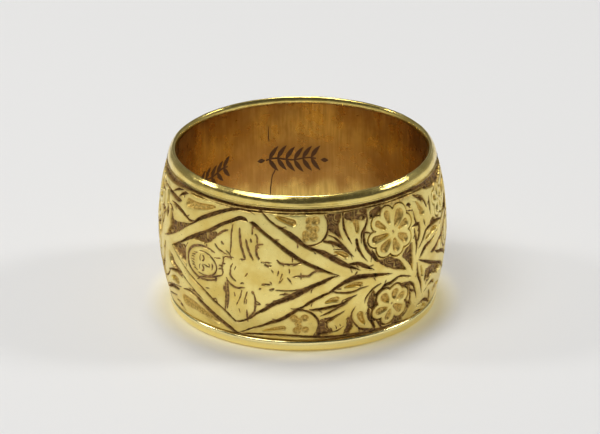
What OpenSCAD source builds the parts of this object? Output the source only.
// Engraved gold ring, lying on its side: a barrel-shaped band with a polished rim above and a
// plain rim below. Three lozenge panels, each holding a robed figure, alternate with sprays of
// leaves and flowers that grow from a forked stem. All the ornament is cut into the band.

/* [Band] */
// Width across the finger hole
bore_d = 18.9; // [17:0.1:20]
// Widest outside width of the band
outer_d = 21.9; // [21:0.1:23]
// Height of the band as it lies on its side
band_w = 12.6; // [12.4:0.1:13]
// Radius of the barrel curve, seen in a section through the wall
belly_r = 17; // [14:0.5:30]
// Height at which the barrel is widest
belly_z = 5.95; // [5.5:0.05:6.5]

/* [Rims] */
// Height at which the ornament ends below the polished rim
field_top = 11.15; // [11:0.01:11.2]
// Height at which the polished rim starts, above its groove
top_rim_z = 11.4; // [11.3:0.01:11.5]
// Height at which the ornament starts above the plain rim
field_foot = 1.08; // [1.05:0.01:1.15]
// Height of the plain rim, below its groove
foot_rim_h = 0.92; // [0.8:0.01:1]
// Outside radius of the plain rim
foot_rim_r = 10.34; // [10.2:0.01:10.4]

/* [Engraving] */
// Depth of the cuts between the raised ornament
ground_depth = 0.28; // [0.2:0.01:0.32]
// Depth of the ring of ground cut round a flower, at its middle height
flower_depth = 0.45; // [0.35:0.01:0.5]
// Depth of the scooped petals and leaves
hollow_depth = 0.2; // [0.1:0.01:0.25]
// Depth of the fold lines on the figures
fold_depth = 0.13; // [0.08:0.01:0.2]

/* [Hidden] */
$fn = 96;

outer_r = outer_d / 2;
bore_r = bore_d / 2;
girth = 2 * PI * outer_r;
gold = [0.84, 0.77, 0.43];

// How far a cutter stands clear above the band, and how far two stretches of a cut overlap
proud = 0.5;
lap = 0.03;
// Longest stretch of a cut that stays deep enough at both of its ends: in the frames, and in the
// short cuts of the leaves, which may run shallow there
frame_stretch = 3;
leaf_stretch = 4.5;
// Facets of the large circles that a pointed cut is made from
fine = 720;

// The ornament is drawn on the unrolled band: s in mm round it from the front, to the right as
// seen from outside, and z in mm up it. The front panel and its spray fill the first of three
// lengths, and the two others are the same drawing drawn a little closer.
drawing_start = -14.1;
drawing_length = 23.8;
other_length = (girth - drawing_length) / 2;
LENGTHS = [ // start, length
  [drawing_start, drawing_length],
  [drawing_start + drawing_length, other_length],
  [drawing_start + drawing_length + other_length, other_length],
];

// Cuts that frame a panel: start, bend, end, width
FRAME = [
  [[-13.1, 6.95], [-9.3, 9.52], [-4.6, 11.05], 0.27],
  [[-4.1, 11.05], [-0.45, 9.22], [3.15, 7.28], 0.36],
  [[-5.15, 1.22], [-1.3, 3.08], [2.7, 5.33], 0.26],
  [[-10.9, 3.18], [-9.4, 3.55], [-5.55, 1.22], 0.36],
  [[-11.9, 6.48], [-8.6, 8.62], [-4.35, 10.45], 0.34],
  [[-4.15, 10.22], [-0.75, 8.18], [2.3, 6.55], 0.32],
  [[2.6, 6.33], [-0.3, 5.0], [-4.3, 2.55], 0.42],
  [[-11.6, 6.2], [-9.2, 4.78], [-4.95, 2.02], 0.18],
];

// Pointed cuts between leaves and stems: start, bend, end, width
SLITS = [
  [[3.05, 7.33], [4.15, 7.08], [5.45, 6.43], 0.26],
  [[1.6, 9.3], [2.55, 8.98], [3.95, 7.98], 0.28],
  [[4.1, 8.85], [4.2, 8.0], [5.0, 7.12], 0.16],
  [[3.16, 10.4], [3.3, 9.7], [3.8, 8.8], 0.17],
  [[9.85, 8.7], [9.98, 7.7], [9.5, 6.35], 0.34],
  [[10.2, 10.85], [11.35, 10.7], [11.35, 9.35], 0.17],
  [[2.85, 5.5], [4.3, 6.28], [7.15, 5.66], 0.44],
  [[1.9, 5.18], [3.1, 4.72], [5.25, 5.12], 0.2],
  [[1.1, 3.78], [2.6, 3.55], [4.1, 4.52], 0.24],
  [[1.5, 3.15], [2.3, 3.3], [3.4, 4.15], 0.2],
  [[3.72, 4.05], [4.1, 3.92], [4.32, 3.55], 0.2],
  [[-13.6, 10.42], [-12.6, 10.25], [-11.0, 10.28], 0.24],
  [[-12.6, 9.8], [-11.2, 9.62], [-9.8, 9.2], 0.22],
  [[-12.6, 4.02], [-11.5, 4.52], [-10.4, 4.2], 0.15],
  [[-12.8, 2.92], [-11.8, 3.12], [-10.9, 3.52], 0.14],
];

// Hatched hollows between the motifs, each as its corners
GROUNDS = [
  [[5.6, 7.0], [7.1, 6.22], [8.52, 5.52], [8.0, 6.5], [7.4, 6.95], [6.3, 7.3]],
  [[8.15, 6.9], [8.6, 7.2], [9.05, 7.2], [9.2, 5.22], [8.72, 6.05]],
  [[1.95, 10.7], [2.1, 9.85], [3.06, 8.98], [2.76, 9.9], [2.72, 10.7]],
  [[1.25, 1.4], [1.32, 2.72], [1.95, 2.72], [1.8, 2.25], [2.15, 1.75], [2.0, 1.4]],
  [[3.8, 2.5], [3.45, 1.95], [3.9, 1.4], [4.9, 1.3], [4.3, 1.75]],
  [[-12.4, 8.8], [-10.95, 8.65], [-11.65, 8.15], [-12.75, 7.55]],
  [[-12.45, 5.7], [-11.2, 4.78], [-10.75, 4.6], [-11.45, 4.6], [-12.3, 4.85]],
  [[-11.4, 6.5], [-10.9, 6.85], [-10.25, 7.05], [-10.35, 6.3], [-10.1, 5.65], [-10.9, 6.0]],
];

// Flowers: centre, radius, petals, turn, width of the ground round them
FLOWERS = [
  [[7.15, 8.95], 1.88, 8, 12, 0.16],
  [[7.32, 3.05], 1.62, 6, 17, 0.26],
];

// Round flowers between leaves: centre, radius, hollows, turn
ROSETTES = [
  [[0.7, 9.9], 1.02, 6, 2],
  [[-0.05, 2.5], 1.02, 6, 62],
];

// Scooped hollows in leaves: round end, point, width
SCOOPS = [
  [[-0.75, 10.45], [-2.1, 10.72], 0.5],
  [[4.22, 10.0], [4.2, 9.4], 0.5],
  [[3.15, 7.88], [2.4, 8.15], 0.36],
  [[10.55, 9.45], [10.1, 10.3], 0.56],
  [[2.45, 4.42], [1.75, 4.28], 0.32],
  [[4.42, 2.85], [4.8, 2.1], 0.44],
  [[-1.6, 2.0], [-2.85, 1.68], 0.4],
  [[-10.15, 10.3], [-7.9, 10.5], 0.66],
  [[-12.2, 3.6], [-11.4, 3.62], 0.4],
  [[-10.55, 2.1], [-8.1, 1.75], 0.7],
];

// Fold lines of the robed figure: start, bend, end, width
FOLDS = [
  [[-5.5, 9.7], [-5.62, 8.6], [-5.66, 7.6], 0.12],
  [[-4.88, 9.5], [-4.78, 8.6], [-4.38, 7.5], 0.16],
  [[-4.2, 8.9], [-4.0, 8.2], [-3.6, 7.5], 0.13],
  [[-6.2, 6.5], [-6.15, 7.4], [-5.2, 7.35], 0.13],
  [[-5.55, 6.6], [-5.7, 5.8], [-5.0, 5.5], 0.13],
  [[-5.95, 5.45], [-5.3, 4.85], [-4.4, 5.2], 0.13],
  [[-6.0, 5.6], [-5.85, 4.3], [-6.2, 3.2], 0.2],
  [[-8.7, 5.0], [-7.5, 5.3], [-6.3, 5.8], 0.13],
  [[-3.85, 4.9], [-3.65, 3.9], [-3.9, 3.1], 0.13],
  [[-1.9, 7.55], [-1.2, 7.3], [-0.3, 7.42], 0.12],
  [[-0.8, 6.4], [0.3, 6.5], [1.1, 6.85], 0.12],
  [[-2.0, 5.3], [-0.9, 5.25], [0.0, 5.42], 0.12],
];

// Radius of the barrel at height z
function barrel_r(z) = outer_r - belly_r + sqrt(pow(belly_r, 2) - pow(z - belly_z, 2));

// Lays a place of the drawing in one of the three lengths of the band
function lay(p, part) = [part[0] + (p.x - drawing_start) * part[1] / drawing_length, p.y];
function closer(part) = part[1] / drawing_length;

// Puts a flat drawing on the band: its own plane touches the barrel at place p
module on_band(p) {
  tilt = asin((p.y - belly_z) / belly_r);
  rotate([0, 0, p.x / outer_r * 180 / PI])
    translate([0, -barrel_r(p.y), p.y])
      rotate([90 - tilt, 0, 0]) children();
}

// A cutter of the drawing below it, from a depth under the barrel to clear above it
module cutter(p, depth) {
  on_band(p) translate([0, 0, -depth]) linear_extrude(depth + proud) children();
}

// The disc whose edge passes both ends of a line along x, and its middle at height rise
module bowed_disc(length, rise) {
  radius = (pow(length / 2, 2) + pow(rise, 2)) / (2 * abs(rise));
  translate([0, rise - sign(rise) * radius]) circle(radius, $fn = fine);
}

// A pointed blade along x between its two bowed sides, the middles of them at low and high
module blade(length, low, high) {
  if (low < 0 && high > 0)
    intersection() {
      bowed_disc(length, low);
      bowed_disc(length, high);
    }
  else
    difference() {
      bowed_disc(length, abs(low) > abs(high) ? low : high);
      bowed_disc(length, abs(low) > abs(high) ? high : low);
    }
}

// A pointed cut, in as many short stretches as keep its depth round the band
module slit(row, part, depth, stretch = leaf_stretch) {
  start = lay(row[0], part);
  end = lay(row[2], part);
  bend = lay(row[1], part);
  length = norm(end - start);
  along = (end - start) / length;
  across = [-along.y, along.x];
  // the middle of the cut stands half as high over its chord as its bend
  bow = (bend - (start + end) / 2) * across / 2;
  low = abs(bow - row[3] / 2) < 0.01 ? -0.01 : bow - row[3] / 2;
  high = abs(bow + row[3] / 2) < 0.01 ? 0.01 : bow + row[3] / 2;
  count = ceil(length / stretch);
  for (i = [0 : count - 1]) {
    from = -length / 2 + i * length / count - (i > 0 ? lap : 1);
    to = -length / 2 + (i + 1) * length / count + (i < count - 1 ? lap : 1);
    at = -length / 2 + (i + 0.5) * length / count;
    rise = bow * (1 - pow(2 * at / length, 2));
    middle = (start + end) / 2 + at * along + rise * across;
    cutter(middle, depth) rotate(atan2(along.y, along.x)) translate([-at, -rise])
      if (count == 1) blade(length, low, high);
      else intersection() {
        blade(length, low, high);
        translate([from, -2]) square([to - from, 4]);
      }
  }
}

// A hollow with straight sides between its corners
module ground(corners, part) {
  places = [for (c = corners) lay(c, part)];
  middle = [for (c = places) 1] * places / len(places);
  cutter(middle, ground_depth) polygon([for (c = places) c - middle]);
}

// A round-ended, pointed hollow lying along x, its point at the start
module drop(length, width) {
  r = width / 2;
  side = acos(r / (length - r));
  translate([length - r, 0]) {
    circle(r);
    polygon([[r - length, 0], r * [-cos(side), -sin(side)], r * [-cos(side), sin(side)]]);
  }
}

// Petals as circles set in a ring round a disc
module petals(radius, count, turn, grow = 0) {
  petal = 1.25 * radius * sin(180 / count) / (1 + sin(180 / count));
  for (k = [0 : count - 1])
    rotate(turn + k * 360 / count) translate([radius - petal, 0]) circle(petal + grow);
  circle(radius - petal);
}

// A flower: the ground cut round its petals, and the hollows scooped in them
module flower(row, part) {
  centre = lay(row[0], part);
  radius = row[1] * closer(part);
  cutter(centre, flower_depth) difference() {
    petals(radius, row[2], row[3], row[4]);
    petals(radius, row[2], row[3]);
  }
  cutter(centre, hollow_depth)
    for (k = [0 : row[2] - 1])
      rotate(row[3] + k * 360 / row[2]) translate([0.3 * radius, 0])
        drop(0.56 * radius, 0.62 * radius * sin(180 / row[2]) + 0.16);
}

// A round flower between leaves: a ring of ground and a ring of small hollows
module rosette(row, part) {
  radius = row[1];
  cutter(lay(row[0], part), ground_depth) difference() {
    circle(radius + 0.14);
    circle(radius);
  }
  cutter(lay(row[0], part), hollow_depth)
    for (k = [0 : row[2] - 1])
      rotate(row[3] + k * 360 / row[2]) translate([0.56 * radius, 0]) circle(0.2 * radius);
}

// A scooped hollow in a leaf
module scoop(row, part) {
  tail = lay(row[1], part);
  way = lay(row[0], part) - tail;
  cutter(tail + way / 2, hollow_depth)
    rotate(atan2(way.y, way.x)) translate([-norm(way) / 2, 0])
      drop(norm(way) + row[2] / 2, row[2]);
}

// Everything cut into one of the three lengths of the band
module ornament(part) {
  for (row = FRAME) slit(row, part, ground_depth, frame_stretch);
  for (row = SLITS) slit(row, part, ground_depth);
  for (row = GROUNDS) ground(row, part);
  for (row = FLOWERS) flower(row, part);
  for (row = ROSETTES) rosette(row, part);
  for (row = SCOOPS) scoop(row, part);
  for (row = FOLDS) slit(row, part, fold_depth);
}

// Section of the wall and its rims, as drawn for turning
module band_section() {
  barrel = [outer_r - belly_r, belly_z];
  // wall up to the ground, and the field raised over it
  intersection() {
    translate(barrel) circle(belly_r - ground_depth, $fn = fine);
    translate([bore_r, 0.5]) square([2, top_rim_z - 0.1]);
  }
  intersection() {
    translate(barrel) circle(belly_r, $fn = fine);
    translate([bore_r, field_foot]) square([2, field_top - field_foot]);
  }
  // plain rim below, with a flat foot
  edge = 0.2;
  foot_round = 0.35;
  translate([foot_rim_r - foot_round, foot_round]) circle(foot_round);
  translate([bore_r + edge, edge]) circle(edge);
  translate([bore_r, foot_round]) square([foot_rim_r - bore_r, foot_rim_h - foot_round]);
  translate([bore_r, edge]) square([edge, foot_round]);
  translate([bore_r + edge, 0]) square([foot_rim_r - foot_round - bore_r - edge, foot_rim_h]);
  // polished rim above: a rounded slope under a small round crest
  crest = 0.27;
  slope = 0.95;
  intersection() {
    translate([bore_r - 0.28, top_rim_z + 0.32]) circle(slope);
    translate([bore_r, top_rim_z]) square([1, band_w - top_rim_z - crest]);
  }
  translate([bore_r + 0.03 + crest, band_w - crest]) circle(crest);
  translate([bore_r, band_w - crest - 0.2]) square([crest, 0.2]);
}

module band() {
  color(gold) difference() {
    rotate_extrude() band_section();
    for (part = LENGTHS) ornament(part);
  }
}

band();
